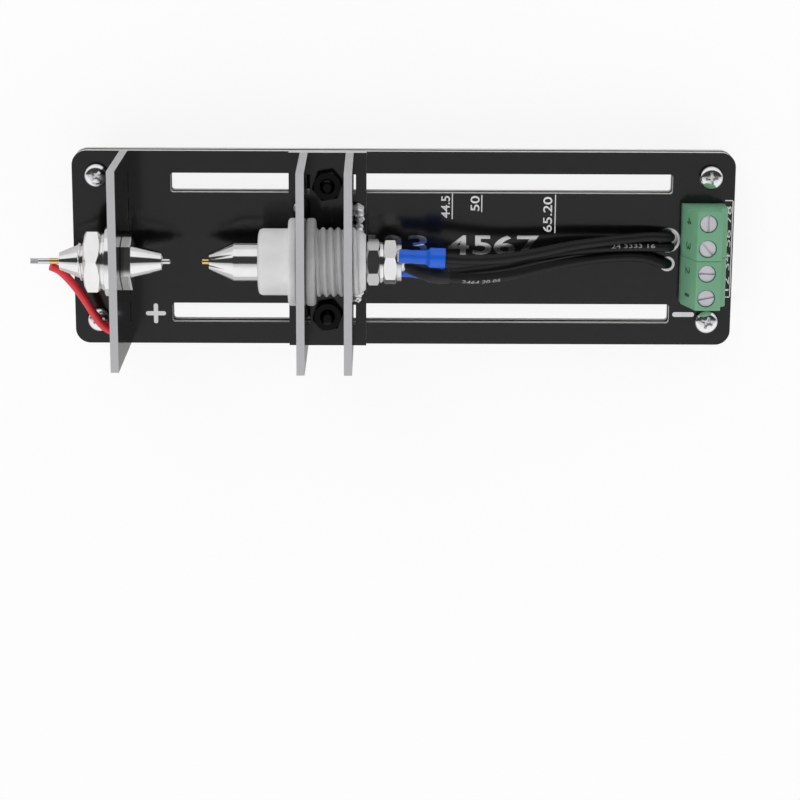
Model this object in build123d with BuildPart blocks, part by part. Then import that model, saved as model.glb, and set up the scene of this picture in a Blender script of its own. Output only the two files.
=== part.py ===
from build123d import *
import math
import os

# Battery test holder: a slotted base on four feet, one fixed and one sliding electrode.
# All sizes are in millimetres. X runs from the fixed electrode to the screw terminals.
# The origin is at floor level, under the middle of the whole holder.

# Boards
board_length = 135.0
board_width = 40.0
board_thickness = 1.6
board_corner_radius = 3.0
board_gap = 1.2
slot_start = 20.0
slot_end_inset = 12.7
slot_width = 4.0
slot_side_inset = 6.5
slot_corner_radius = 0.6
corner_inset = 5.0

# Feet and corner screws
foot_length = 10.0
foot_across_flats = 5.0
foot_chamfer = 0.25
screw_radius = 1.45
screw_play = 0.05
screw_head_radius = 2.5
screw_head_height = 1.9
screw_head_flat_radius = 1.1
screw_tip_recess = 0.4
board_hole_radius = 1.6
spacer_radius = 2.9
recess_length = 2.9
recess_width = 0.62
recess_depth = 1.1

# Upright plates
plate_height = 26.0
electrode_height = 14.2
fixed_plate_x = 9.8
long_tab = 20.0
short_tab = 4.0
tab_play = 0.1
tab_slit = 0.5
fixed_tab_depth = 2.5
cover_slot_width = 2.2
fillet_leg = 0.8

# Fixed electrode, from the plate outwards and inwards
thread_radius = 4.0
thread_play = 0.05
washer_thickness = 1.6
washer_radius = 7.1
lock_washer_thickness = 0.7
lock_washer_radius = 5.9
fixed_nut_thickness = 3.4
fixed_nut_across_flats = 12.0
fixed_nut_turn = 21.9
thread_end = 1.1
rear_taper_length = 4.1
rear_taper_radius = 1.75
collar_thickness = 2.0
collar_across_flats = 10.0
collar_turn = -10.4
cone_length = 5.9
cone_base_radius = 3.3
cone_tip_radius = 1.75

# Sprung probes inside both electrodes
core_radius = 1.15
insulator_wall = 0.2
probe_play = 0.03
barrel_radius = 0.9
barrel_bore = 0.7
barrel_mouth = 0.6
barrel_mouth_length = 0.5
pin_radius = 0.55
pin_head_radius = 0.64
pin_head_length = 1.0
pin_reach = 1.8
pin_tip_round = 0.3
pin_travel = 1.6
tail_radius = 0.62
gold_tail_length = 1.95
socket_radius = 0.55
socket_bore = 0.38
socket_length = 3.95
cup_length = 1.6

# Carriage, placed by its thumb screws
carriage_x = 52.0
carriage_length = 15.8
slide_play = 0.1
front_plate_inset = 2.3
rear_plate_inset = 11.6

# Threaded bushing
bushing_radius = 7.0
bushing_play = 0.05
boss_radius = 6.65
boss_length = 6.0
boss_round = 0.9
flange_radius = 8.75
flange_thickness = 1.9
flange_bevel = 0.4
bushing_nut_thickness = 2.0
bushing_end = 2.6
guide_play = 0.08
spring_chamber_end = 5.4

# Moving electrode
nose_length = 5.0
nose_tip_radius = 1.55
plunger_radius = 3.85
plunger_lead = 4.9
plunger_seat = 7.0
stem_radius = 2.5
stem_end_radius = 2.0
stem_end_length = 1.55
stop_gap = 0.15
plunger_nut_across_flats = 8.0
stop_nut_thickness = 2.7
stop_nut_turn = -11.5
stem_washer_thickness = 0.3
stem_washer_radius = 4.2
lock_nut_thickness = 2.8
lock_nut_turn = 8.0
plunger_spring_wire = 0.35
plunger_spring_radius = 3.2
plunger_spring_turns = 5

# Ring terminals and their sleeves
tongue_thickness = 0.4
tongue_radius = 3.8
neck_width = 2.0
crimp_radius = 1.1
crimp_bore = 0.75
crimp_length = 4.7
sleeve_wall = 0.27
sleeve_play = 0.03
flare_radius = 2.0
flare_wall = 0.28
flare_length = 3.9
flare_taper = 0.9

# Heat shrink over the probe's tail
shrink_radius = 1.7
shrink_bore = 1.42
shrink_length = 4.0

# Thumb screws and their nuts
thumb_screw_radius = 1.5
knob_radius = 4.7
knob_height = 7.0
knob_flutes = 40
knob_flute_radius = 0.16
knob_chamfer = 0.35
knob_gap = 0.1
clamp_nut_across_flats = 5.5
clamp_nut_height = 2.6
thumb_screw_end = 1.2

# Screw terminals
pitch = 5.08
poles_per_block = 2
block_count = 2
block_inset = 10.8
block_y = -0.5
block_depth = 8.8
block_height = 10.0
block_play = 0.05
block_side_height = 3.6
block_top_start = 2.2
block_top_end = 7.3
block_ledge_height = 5.6
rib_width = 0.7
rib_depth = 0.35
rib_height = 4.5
pole_x = 4.4
chamber_start = 1.0
chamber_end = 7.6
chamber_width = 3.9
chamber_height = 8.0
terminal_head_radius = 1.72
terminal_head_height = 1.25
terminal_head_recess = 0.35
terminal_head_play = 0.1
terminal_slot_width = 0.45
terminal_slot_depth = 0.5
terminal_thread_radius = 1.25
terminal_thread_play = 0.1
terminal_slot_turns = [12.0, -2.0, -50.0, 90.0]
entry_width = 3.4
entry_height = 3.2
clamp_length = 4.2
clamp_width = 3.6
clamp_height = 5.6
clamp_floor = 0.8
clamp_roof = 1.0
clamp_side = 0.5
clamp_bottom = 0.6
bar_width = 2.2
bar_bottom = 4.0
bar_thickness = 0.7
bar_start = 1.2
bar_length = 6.0
pin_length_below = 0.6
pin_width = 0.9
pin_hole_radius = 0.65

# Leads
black_lead_radius = 1.0
red_lead_radius = 0.85
eyelet_gap = 2.6
pair_hole_y = 2.0
pair_spacing = 2.02
single_hole_y = -2.95
red_hole_x = 8.5
red_hole_inset = 2.7
eyelet_wall = 0.15
eyelet_play = 0.03
eyelet_rim = 0.2
eyelet_lip = 0.35
lead_play = 0.03
joint_height = 0.8

# Places set by the board's own edges
slot_end = board_length - slot_end_inset
slot_offset = board_width / 2 - slot_side_inset
block_x = board_length - block_inset
eyelet_x = block_x - eyelet_gap
red_hole = (red_hole_x, red_hole_inset - board_width / 2)

# Levels above the floor
cover_bottom = foot_length
gap_bottom = cover_bottom + board_thickness
base_bottom = gap_bottom + board_gap
base_top = base_bottom + board_thickness
axis_z = base_top + electrode_height
carriage_bottom = base_top + slide_play
carriage_top = carriage_bottom + board_thickness

# Places along the fixed electrode, measured from the base board's left edge
fixed_washer_x = fixed_plate_x - washer_thickness
fixed_lock_x = fixed_washer_x - lock_washer_thickness
fixed_nut_x = fixed_lock_x - fixed_nut_thickness
fixed_thread_x = fixed_nut_x - thread_end
fixed_rear_x = fixed_thread_x - rear_taper_length
fixed_socket_x = fixed_rear_x - gold_tail_length
fixed_tail_x = fixed_socket_x - socket_length
fixed_collar_x = fixed_plate_x + board_thickness
fixed_cone_x = fixed_collar_x + collar_thickness
fixed_tip_x = fixed_cone_x + cone_length

# Places along the carriage
carriage_left = carriage_x - carriage_length / 2
front_plate_x = carriage_left + front_plate_inset
rear_plate_x = carriage_left + rear_plate_inset
flange_x = front_plate_x - flange_thickness
boss_x = flange_x - boss_length
bushing_end_x = rear_plate_x + board_thickness + bushing_end
cylinder_x = boss_x - plunger_lead
nose_x = cylinder_x - nose_length
seat_x = boss_x + plunger_seat
chamber_end_x = bushing_end_x - spring_chamber_end
stop_nut_x = bushing_end_x + stop_gap
stem_washer_x = stop_nut_x + stop_nut_thickness
lock_nut_x = stem_washer_x + 2 * stem_washer_thickness
tongue_x = lock_nut_x + lock_nut_thickness
stem_end_x = tongue_x + stem_end_length
moving_socket_x = stem_end_x - 0.9
moving_socket_end_x = stem_end_x + 1.6

# The whole holder is centred, with the fixed probe's tail at its left end
left_edge = -(board_length + fixed_tail_x) / 2
electrode_axis = Axis((0, 0, axis_z), (1, 0, 0))
section_plane = Plane(origin=(left_edge, 0, axis_z), x_dir=(1, 0, 0), z_dir=(0, -1, 0))
corner_points = [
    (left_edge + x, y)
    for x in (corner_inset, board_length - corner_inset)
    for y in (-board_width / 2 + corner_inset, board_width / 2 - corner_inset)
]
pole_y = [
    block_y + (pole - (poles_per_block * block_count - 1) / 2) * pitch
    for pole in range(poles_per_block * block_count)
]
pair_points = [
    (eyelet_x, pair_hole_y + pair_spacing / 2),
    (eyelet_x, pair_hole_y - pair_spacing / 2),
]


def save(builder, label):
    builder.part.label = label
    export_step(builder.part, f"parts/{label}.step")


def board_plane(height):
    return Plane(origin=(left_edge, 0, height))


def across(x, height=axis_z):
    """A plane square to the electrodes' axis, with its own x along +Y and y along +Z."""
    return Plane(origin=(left_edge + x, 0, height), x_dir=(0, 1, 0), z_dir=(1, 0, 0))


def turned(outline):
    """A solid turned about the electrodes' axis, from (x, radius) points."""
    with BuildPart() as turning:
        with BuildSketch(section_plane):
            with BuildLine():
                Polyline(*outline, close=True)
            make_face()
        revolve(axis=electrode_axis)
    return turning


def ring(x, thickness, outer, inner):
    return turned([(x, inner), (x, outer), (x + thickness, outer), (x + thickness, inner)])


def hex_nut(plane, across_flats, thickness, bore, turn=0.0):
    """A hexagonal nut with both faces chamfered round the corners."""
    corner_radius = across_flats / math.sqrt(3)
    bevel = corner_radius - across_flats / 2
    with BuildPart() as nut:
        with BuildSketch(plane):
            RegularPolygon(across_flats / 2, 6, major_radius=False, rotation=turn)
        extrude(amount=thickness)
        with BuildSketch(plane) as disc:
            Circle(corner_radius)
        extrude(amount=thickness, mode=Mode.INTERSECT)
        with BuildPart(mode=Mode.PRIVATE) as envelope:
            with BuildSketch(plane):
                Circle(corner_radius)
            extrude(amount=thickness)
            chamfer(envelope.edges().filter_by(GeomType.CIRCLE), length=bevel * 0.6, length2=bevel)
        add(envelope.part, mode=Mode.INTERSECT)
        with BuildSketch(plane):
            Circle(bore)
        extrude(amount=thickness, mode=Mode.SUBTRACT)
    return nut


def coil_spring(x, length, radius, wire, turns):
    """A compression spring; its wire is drawn with six sides, which keeps it light."""
    with BuildPart() as spring:
        with BuildLine() as coil:
            Helix(
                pitch=(length - 2 * wire) / turns,
                height=length - 2 * wire,
                radius=radius,
                center=(left_edge + x + wire, 0, axis_z),
                direction=(1, 0, 0),
            )
        with BuildSketch(Plane(origin=coil.line @ 0, z_dir=coil.line % 0)):
            RegularPolygon(wire, 6)
        sweep(is_frenet=True)
    return spring


def lead(name, points, radius):
    """A round lead of straight runs joined by arcs as large as the runs allow."""
    corners = [Vector(left_edge + x, y, base_top + z) for x, y, z in points]
    radii = []
    for before, corner, after in zip(corners, corners[1:], corners[2:]):
        turn = math.radians((corner - before).get_angle(after - corner))
        shorter = min((corner - before).length, (after - corner).length)
        radii.append(0.45 * shorter / math.tan(turn / 2))
    with BuildPart() as tube:
        with BuildLine() as route:
            FilletPolyline(*corners, radius=radii)
        with BuildSketch(Plane(origin=corners[0], z_dir=corners[1] - corners[0])):
            Circle(radius)
        sweep()
    length = route.wires()[0].length
    print(name, "length", round(length, 1), "radii", [round(r, 1) for r in radii])
    print(name, "volume ratio", round(tube.part.volume / (math.pi * radius**2 * length), 4))
    return tube


def upright_plate(x, foot, depth, hole):
    """An upright board standing on foot, with a long tab, two short tabs and one hole."""
    plane = across(x, foot)
    with BuildPart() as plate:
        with BuildSketch(plane):
            with Locations((0, plate_height / 2)):
                Rectangle(board_width, plate_height)
            with Locations((0, -depth / 2)):
                Rectangle(long_tab, depth)
            with Locations((-slot_offset, -depth / 2), (slot_offset, -depth / 2)):
                Rectangle(short_tab, depth)
            with Locations((0, axis_z - foot)):
                Circle(hole, mode=Mode.SUBTRACT)
        extrude(amount=board_thickness)
    return plate


def slotted_board(bottom, holes, tab_slot_start, tab_slot_width, tab_slot_play):
    """A base board with its corner holes, long slots and tab slots; holes are (x, y, radius)."""
    with BuildPart() as board:
        with BuildSketch(board_plane(bottom)) as outline:
            with Locations((board_length / 2, 0)):
                RectangleRounded(board_length, board_width, board_corner_radius)
            with Locations(
                ((slot_start + slot_end) / 2, slot_offset),
                ((slot_start + slot_end) / 2, -slot_offset),
            ):
                RectangleRounded(
                    slot_end - slot_start, slot_width, slot_corner_radius, mode=Mode.SUBTRACT
                )
            tab_x = tab_slot_start + tab_slot_width / 2
            with Locations((tab_x, 0)):
                Rectangle(tab_slot_width, long_tab + tab_slot_play, mode=Mode.SUBTRACT)
            with Locations((tab_x, slot_offset), (tab_x, -slot_offset)):
                Rectangle(tab_slot_width, short_tab + tab_slot_play, mode=Mode.SUBTRACT)
            for x, y, radius in holes:
                with Locations((x, y)):
                    Circle(radius, mode=Mode.SUBTRACT)
        extrude(amount=board_thickness)
    return board


# Base board and the cover board below it
corner_holes = [(x - left_edge, y, board_hole_radius) for x, y in corner_points]
pair_tube_radius = black_lead_radius + pair_spacing / 2 + lead_play + eyelet_wall
single_tube_radius = black_lead_radius + lead_play + eyelet_wall
red_tube_radius = red_lead_radius + lead_play + eyelet_wall
eyelets = [
    (eyelet_x, pair_hole_y, pair_tube_radius),
    (eyelet_x, single_hole_y, single_tube_radius),
    (red_hole[0], red_hole[1], red_tube_radius),
]
eyelet_holes = [(x, y, radius + eyelet_play) for x, y, radius in eyelets]
pin_x = block_x + bar_start + bar_thickness / 2
pin_holes = [(pin_x, y, pin_hole_radius) for y in pole_y]
base_board = slotted_board(
    base_bottom,
    corner_holes + eyelet_holes + pin_holes,
    fixed_plate_x - tab_play / 2,
    board_thickness + tab_play,
    tab_play,
)
cover_board = slotted_board(
    cover_bottom,
    corner_holes,
    fixed_plate_x + board_thickness / 2 - cover_slot_width / 2,
    cover_slot_width,
    tab_slit,
)
# Feet: hexagonal spacers, the two on the far side with corners along the board
with BuildPart() as standoffs:
    for x, y in corner_points:
        turn = 0 if y > 0 else 30
        foot_plane = Plane(origin=(x, y, 0))
        add(
            hex_nut(
                foot_plane, foot_across_flats, foot_length, screw_radius + screw_play, turn
            ).part
        )

with BuildPart() as board_spacers:
    with BuildSketch(Plane.XY.offset(gap_bottom)):
        with Locations(*corner_points):
            Circle(spacer_radius)
            Circle(board_hole_radius, mode=Mode.SUBTRACT)
    extrude(amount=board_gap)

# Corner screws: a domed head with a cross recess, and a shank that ends inside the foot
with BuildPart() as corner_screw:
    with BuildSketch(Plane.XZ):
        with BuildLine():
            Polyline(
                (0, screw_tip_recess),
                (screw_radius, screw_tip_recess),
                (screw_radius, base_top),
                (screw_head_radius, base_top),
                (screw_head_radius, base_top + 0.7),
                (screw_head_radius - 0.35, base_top + 1.45),
                (screw_head_flat_radius, base_top + screw_head_height),
                (0, base_top + screw_head_height),
                close=True,
            )
        make_face()
    revolve(axis=Axis.Z)
    with BuildSketch(Plane.XY.offset(base_top + screw_head_height)):
        Rectangle(recess_length, recess_width)
        Rectangle(recess_width, recess_length)
    extrude(amount=-recess_depth, mode=Mode.SUBTRACT)
with BuildPart() as corner_screws:
    for number, (x, y) in enumerate(corner_points):
        with Locations(Location((x, y, 0), (0, 0, 20 + 25 * number))):
            add(corner_screw.part)

# Fixed plate, with the solder that holds its tabs under the base board
fixed_plate = upright_plate(fixed_plate_x, base_top, fixed_tab_depth, thread_radius + thread_play)
with BuildPart() as fixed_plate_solder:
    for tab_y, tab_length in ((0, long_tab), (slot_offset, short_tab), (-slot_offset, short_tab)):
        for face_x, side in ((fixed_plate_x, -1), (fixed_plate_x + board_thickness, 1)):
            fillet_plane = Plane(
                origin=(left_edge + face_x, tab_y, base_bottom),
                x_dir=(side, 0, 0),
                z_dir=(0, side, 0),
            )
            with BuildSketch(fillet_plane):
                with BuildLine():
                    Line((0, 0), (fillet_leg, 0))
                    ThreePointArc(
                        (fillet_leg, 0),
                        (fillet_leg * 0.36, fillet_leg * 0.36),
                        (0, fillet_leg),
                    )
                    Line((0, fillet_leg), (0, 0))
                make_face()
            extrude(amount=tab_length / 2 - tab_play, both=True)

# Fixed electrode: rear taper, thread, hexagonal collar and cone, with a core through it
with BuildPart() as fixed_electrode:
    add(
        turned(
            [
                (fixed_rear_x, 0),
                (fixed_rear_x, rear_taper_radius),
                (fixed_thread_x, thread_radius - 0.5),
                (fixed_thread_x, thread_radius - 0.3),
                (fixed_thread_x + 0.3, thread_radius),
                (fixed_collar_x + 0.2, thread_radius),
                (fixed_collar_x + 0.2, cone_base_radius),
                (fixed_cone_x, cone_base_radius),
                (fixed_tip_x, cone_tip_radius),
                (fixed_tip_x, 0),
            ]
        ).part
    )
    with BuildSketch(across(fixed_collar_x)):
        RegularPolygon(collar_across_flats / 2, 6, major_radius=False, rotation=collar_turn)
    extrude(amount=collar_thickness)
    with BuildSketch(across(fixed_rear_x)):
        Circle(core_radius)
    extrude(amount=fixed_tip_x - fixed_rear_x, mode=Mode.SUBTRACT)
fixed_electrode_nut = hex_nut(
    across(fixed_nut_x),
    fixed_nut_across_flats,
    fixed_nut_thickness,
    thread_radius + thread_play,
    fixed_nut_turn,
)
fixed_lock_washer = ring(
    fixed_lock_x, lock_washer_thickness, lock_washer_radius, thread_radius + thread_play
)
contact_washer = ring(
    fixed_washer_x, washer_thickness, washer_radius, thread_radius + thread_play
)


def probe_insulator(x, length):
    return ring(x, length, core_radius - probe_play, core_radius - insulator_wall)


def probe_barrel(tail_x, body_x, mouth_x):
    """A probe's barrel, with a narrow tail at one end and a crimped mouth at the other."""
    step = 0.4
    return turned(
        [
            (tail_x, 0),
            (tail_x, tail_radius),
            (body_x, tail_radius),
            (body_x, barrel_radius),
            (mouth_x, barrel_radius),
            (mouth_x, barrel_mouth),
            (mouth_x - math.copysign(barrel_mouth_length, mouth_x - body_x), barrel_mouth),
            (mouth_x - math.copysign(barrel_mouth_length, mouth_x - body_x), barrel_bore),
            (body_x + math.copysign(step, mouth_x - body_x), barrel_bore),
            (body_x + math.copysign(step, mouth_x - body_x), 0),
        ]
    )


def sense_pin(tip_x, direction, body_end):
    """A plunger with a rounded tip; direction is 1 when the tip points to +X."""
    head_x = body_end
    return turned(
        [
            (tip_x, 0),
            (tip_x, pin_radius - pin_tip_round),
            (tip_x - direction * pin_tip_round, pin_radius),
            (head_x + direction * pin_head_length, pin_radius),
            (head_x + direction * pin_head_length, pin_head_radius),
            (head_x, pin_head_radius),
            (head_x, 0),
        ]
    )


# The fixed side's probe, its pin pointing to the cell
fixed_body_x = fixed_rear_x + 0.6
fixed_mouth_x = fixed_tip_x - 0.3
fixed_pin_end_x = fixed_mouth_x - barrel_mouth_length - pin_head_length - 0.05
fixed_insulator = probe_insulator(fixed_rear_x, fixed_tip_x - fixed_rear_x - 0.1)
fixed_probe_barrel = probe_barrel(fixed_socket_x, fixed_body_x, fixed_mouth_x)
with BuildPart() as fixed_probe_socket:
    add(ring(fixed_tail_x, socket_length, socket_radius, socket_bore).part)
    with Locations((left_edge + fixed_tail_x + cup_length / 2, 0, axis_z + socket_radius)):
        Box(cup_length, 2 * socket_radius, 2 * socket_radius - 0.3, mode=Mode.SUBTRACT)
fixed_sense_pin = sense_pin(fixed_tip_x + pin_reach, 1, fixed_pin_end_x)

# Carriage board, with slots for the plates' tabs and holes for the thumb screws
with BuildPart() as carriage_board:
    with BuildSketch(board_plane(carriage_bottom)):
        with Locations((carriage_x, 0)):
            Rectangle(carriage_length, board_width)
        for plate_x in (front_plate_x, rear_plate_x):
            slit = board_thickness + tab_slit
            with Locations((plate_x - tab_play / 2 + slit / 2, 0)):
                Rectangle(slit, long_tab + tab_play, mode=Mode.SUBTRACT)
            with Locations(
                (plate_x - tab_play / 2 + slit / 2, slot_offset),
                (plate_x - tab_play / 2 + slit / 2, -slot_offset),
            ):
                Rectangle(slit, short_tab + tab_play, mode=Mode.SUBTRACT)
        with Locations((carriage_x, slot_offset), (carriage_x, -slot_offset)):
            Circle(board_hole_radius, mode=Mode.SUBTRACT)
    extrude(amount=board_thickness)
carriage_front_plate = upright_plate(
    front_plate_x, carriage_top, board_thickness, bushing_radius + bushing_play
)
carriage_rear_plate = upright_plate(
    rear_plate_x, carriage_top, board_thickness, bushing_radius + bushing_play
)

# Solder fillets at the feet of the carriage plates
carriage_fillets = [
    (rear_plate_x + board_thickness, 1, 5.8, 6.2, 1.6),
    (rear_plate_x + board_thickness, 1, -9.4, 2.6, 1.5),
    (front_plate_x, -1, 8.6, 1.6, 0.8),
]
with BuildPart() as carriage_solder:
    for face_x, side, middle_y, length, leg in carriage_fillets:
        fillet_plane = Plane(
            origin=(left_edge + face_x, middle_y, carriage_top),
            x_dir=(side, 0, 0),
            z_dir=(0, -side, 0),
        )
        with BuildSketch(fillet_plane):
            with BuildLine():
                Line((0, 0), (leg, 0))
                ThreePointArc((leg, 0), (leg * 0.36, leg * 0.36), (0, leg))
                Line((0, leg), (0, 0))
            make_face()
        extrude(amount=length / 2, both=True)

# Bushing: a rounded boss and flange in front, a long thread through both plates
guide_radius = plunger_radius + guide_play
with BuildPart() as bushing:
    add(
        turned(
            [
                (boss_x, guide_radius),
                (boss_x, boss_radius),
                (flange_x, boss_radius),
                (flange_x, flange_radius),
                (front_plate_x, flange_radius),
                (front_plate_x, bushing_radius),
                (bushing_end_x - 0.5, bushing_radius),
                (bushing_end_x, bushing_radius - 0.5),
                (bushing_end_x, stem_radius + guide_play),
                (chamber_end_x, stem_radius + guide_play),
                (chamber_end_x, guide_radius),
            ]
        ).part
    )
    front_rims = bushing.edges().filter_by(GeomType.CIRCLE)
    boss_rim = front_rims.filter_by(lambda rim: abs(rim.radius - boss_radius) < 0.01)
    fillet(boss_rim.sort_by(Axis.X)[0], boss_round)
    flange_rims = bushing.edges().filter_by(GeomType.CIRCLE)
    chamfer(
        flange_rims.filter_by(lambda rim: abs(rim.radius - flange_radius) < 0.01), flange_bevel
    )
bushing_nut_x = front_plate_x + board_thickness
with BuildPart() as bushing_nut:
    add(
        ring(
            bushing_nut_x, bushing_nut_thickness, flange_radius, bushing_radius + bushing_play
        ).part
    )
    nut_rims = bushing_nut.edges().filter_by(GeomType.CIRCLE)
    chamfer(nut_rims.filter_by(lambda rim: abs(rim.radius - flange_radius) < 0.01), flange_bevel)

# Moving electrode: cone, guide cylinder, stem and stud end, with a core through it
moving_electrode = turned(
    [
        (nose_x, core_radius),
        (nose_x, nose_tip_radius),
        (cylinder_x, plunger_radius),
        (seat_x, plunger_radius),
        (seat_x, stem_radius),
        (tongue_x, stem_radius),
        (tongue_x, stem_end_radius),
        (stem_end_x - 0.2, stem_end_radius),
        (stem_end_x, stem_end_radius - 0.2),
        (stem_end_x, core_radius),
    ]
)
plunger_spring = coil_spring(
    seat_x,
    chamber_end_x - seat_x,
    plunger_spring_radius,
    plunger_spring_wire,
    plunger_spring_turns,
)
stop_nut = hex_nut(
    across(stop_nut_x),
    plunger_nut_across_flats,
    stop_nut_thickness,
    stem_radius + thread_play,
    stop_nut_turn,
)
with BuildPart() as plunger_washers:
    add(ring(stem_washer_x, stem_washer_thickness, stem_washer_radius, stem_radius + thread_play).part)
    add(
        ring(
            stem_washer_x + stem_washer_thickness + 0.02,
            stem_washer_thickness - 0.02,
            stem_washer_radius - 0.15,
            stem_radius + thread_play,
        ).part
    )
lock_nut = hex_nut(
    across(lock_nut_x),
    plunger_nut_across_flats,
    lock_nut_thickness,
    stem_radius + thread_play,
    lock_nut_turn,
)

# The moving side's probe, its pin pointing back to the fixed one
moving_body_x = moving_socket_x - 0.8
moving_mouth_x = nose_x + 0.3
moving_pin_end_x = moving_mouth_x + barrel_mouth_length + pin_head_length + 0.05
moving_insulator = probe_insulator(nose_x + 0.1, stem_end_x - nose_x - 0.1)
moving_probe_barrel = probe_barrel(moving_socket_x, moving_body_x, moving_mouth_x)
moving_probe_socket = ring(
    moving_socket_x, moving_socket_end_x - moving_socket_x, socket_radius, socket_bore
)
moving_sense_pin = sense_pin(nose_x - 1.6, -1, moving_pin_end_x)


def lean_plane(start, end):
    """A plane at start, square to the line towards end."""
    return Plane(
        origin=(left_edge + start[0], start[1], base_top + start[2]),
        z_dir=Vector(*end) - Vector(*start),
    )


def ring_terminal(plate_x, start, end):
    """A ring tongue round the stud end, bent into a crimp barrel along start to end."""
    start_height = start[2] - electrode_height
    distance = math.hypot(start[1], start_height)
    with BuildPart() as terminal:
        with BuildSketch(across(plate_x)):
            Circle(tongue_radius)
            angle = math.degrees(math.atan2(start_height, start[1]))
            bend = distance + crimp_radius - 0.15
            with Locations(Location((0, 0, 0), (0, 0, angle))):
                with Locations((bend / 2, 0)):
                    Rectangle(bend, neck_width)
            Circle(stem_end_radius + probe_play, mode=Mode.SUBTRACT)
        extrude(amount=tongue_thickness)
        with BuildSketch(across(plate_x)):
            with Locations(Location((0, 0, 0), (0, 0, angle))):
                with Locations((bend - tongue_thickness / 2, 0)):
                    Rectangle(tongue_thickness, neck_width)
        extrude(amount=start[0] - plate_x + 0.4)
        with BuildSketch(lean_plane(start, end)):
            Circle(crimp_radius)
        extrude(amount=crimp_length)
        with BuildSketch(lean_plane(start, end)):
            Circle(crimp_bore)
        extrude(amount=crimp_length + 1, mode=Mode.SUBTRACT)
    return terminal


def terminal_sleeve(start, end):
    """An insulating sleeve over the crimp, flared where the lead goes in."""
    inner = crimp_radius + sleeve_play
    outer = inner + sleeve_wall
    total = crimp_length + flare_length
    with BuildPart() as sleeve:
        with BuildSketch(Plane.XZ):
            with BuildLine():
                Polyline(
                    (inner, 0.3),
                    (outer, 0.3),
                    (outer, crimp_length),
                    (flare_radius, crimp_length + flare_taper),
                    (flare_radius, total),
                    (flare_radius - flare_wall, total),
                    (flare_radius - flare_wall, crimp_length + flare_taper),
                    (inner, crimp_length),
                    close=True,
                )
            make_face()
        revolve(axis=Axis.Z)
    sleeve.part = lean_plane(start, end).location * sleeve.part
    return sleeve


# Both ring terminals, one above the stud end and one below it, each on its own crimp line
crimp_x = tongue_x + 2 * tongue_thickness + 0.1
crimp_end_x = crimp_x + crimp_length + flare_length
upper_start = (crimp_x, 1.95, electrode_height + 3.7)
upper_end = (crimp_end_x, 1.6, electrode_height + 3.9)
lower_start = (crimp_x, -2.1, electrode_height - 2.7)
lower_end = (crimp_end_x, -2.6, electrode_height - 1.3)
ring_terminal_upper = ring_terminal(tongue_x, upper_start, upper_end)
ring_terminal_lower = ring_terminal(tongue_x + tongue_thickness, lower_start, lower_end)
terminal_sleeve_upper = terminal_sleeve(upper_start, upper_end)
terminal_sleeve_lower = terminal_sleeve(lower_start, lower_end)
heat_shrink = turned(
    [
        (stem_end_x + 0.05, socket_radius + probe_play),
        (stem_end_x + 0.05, shrink_radius),
        (stem_end_x + shrink_length - 0.5, shrink_radius),
        (stem_end_x + shrink_length, shrink_bore + 0.1),
        (stem_end_x + shrink_length, shrink_bore),
        (moving_socket_end_x, shrink_bore),
        (moving_socket_end_x, socket_radius + probe_play),
    ]
)


# Thumb screws: fluted knobs under the cover board, shanks up through the slots
def thumb_screw(y):
    knob_top = cover_bottom - knob_gap
    shank_top = carriage_top + clamp_nut_height + thumb_screw_end
    with BuildPart() as thumb:
        with BuildSketch(Plane(origin=(left_edge + carriage_x, y, knob_top - knob_height))):
            Circle(knob_radius)
            with PolarLocations(knob_radius, knob_flutes):
                RegularPolygon(knob_flute_radius * 2, 3, rotation=180, mode=Mode.SUBTRACT)
        extrude(amount=knob_height)
        with BuildPart(mode=Mode.PRIVATE) as envelope:
            with BuildSketch(Plane(origin=(left_edge + carriage_x, y, knob_top - knob_height))):
                Circle(knob_radius)
            extrude(amount=knob_height)
            chamfer(envelope.edges().filter_by(GeomType.CIRCLE), knob_chamfer)
        add(envelope.part, mode=Mode.INTERSECT)
        with BuildSketch(Plane(origin=(left_edge + carriage_x, y, knob_top))):
            Circle(thumb_screw_radius)
        extrude(amount=shank_top - knob_top)
        fillet(thumb.faces().sort_by(Axis.Z)[-1].edges(), thumb_screw_radius * 0.5)
    return thumb


def clamp_nut(y):
    seat = Plane(origin=(left_edge + carriage_x, y, carriage_top))
    return hex_nut(
        seat, clamp_nut_across_flats, clamp_nut_height, thumb_screw_radius + thread_play, 10
    )


thumb_screw_front = thumb_screw(-slot_offset)
thumb_screw_rear = thumb_screw(slot_offset)
clamp_nut_front = clamp_nut(-slot_offset)
clamp_nut_rear = clamp_nut(slot_offset)


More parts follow.
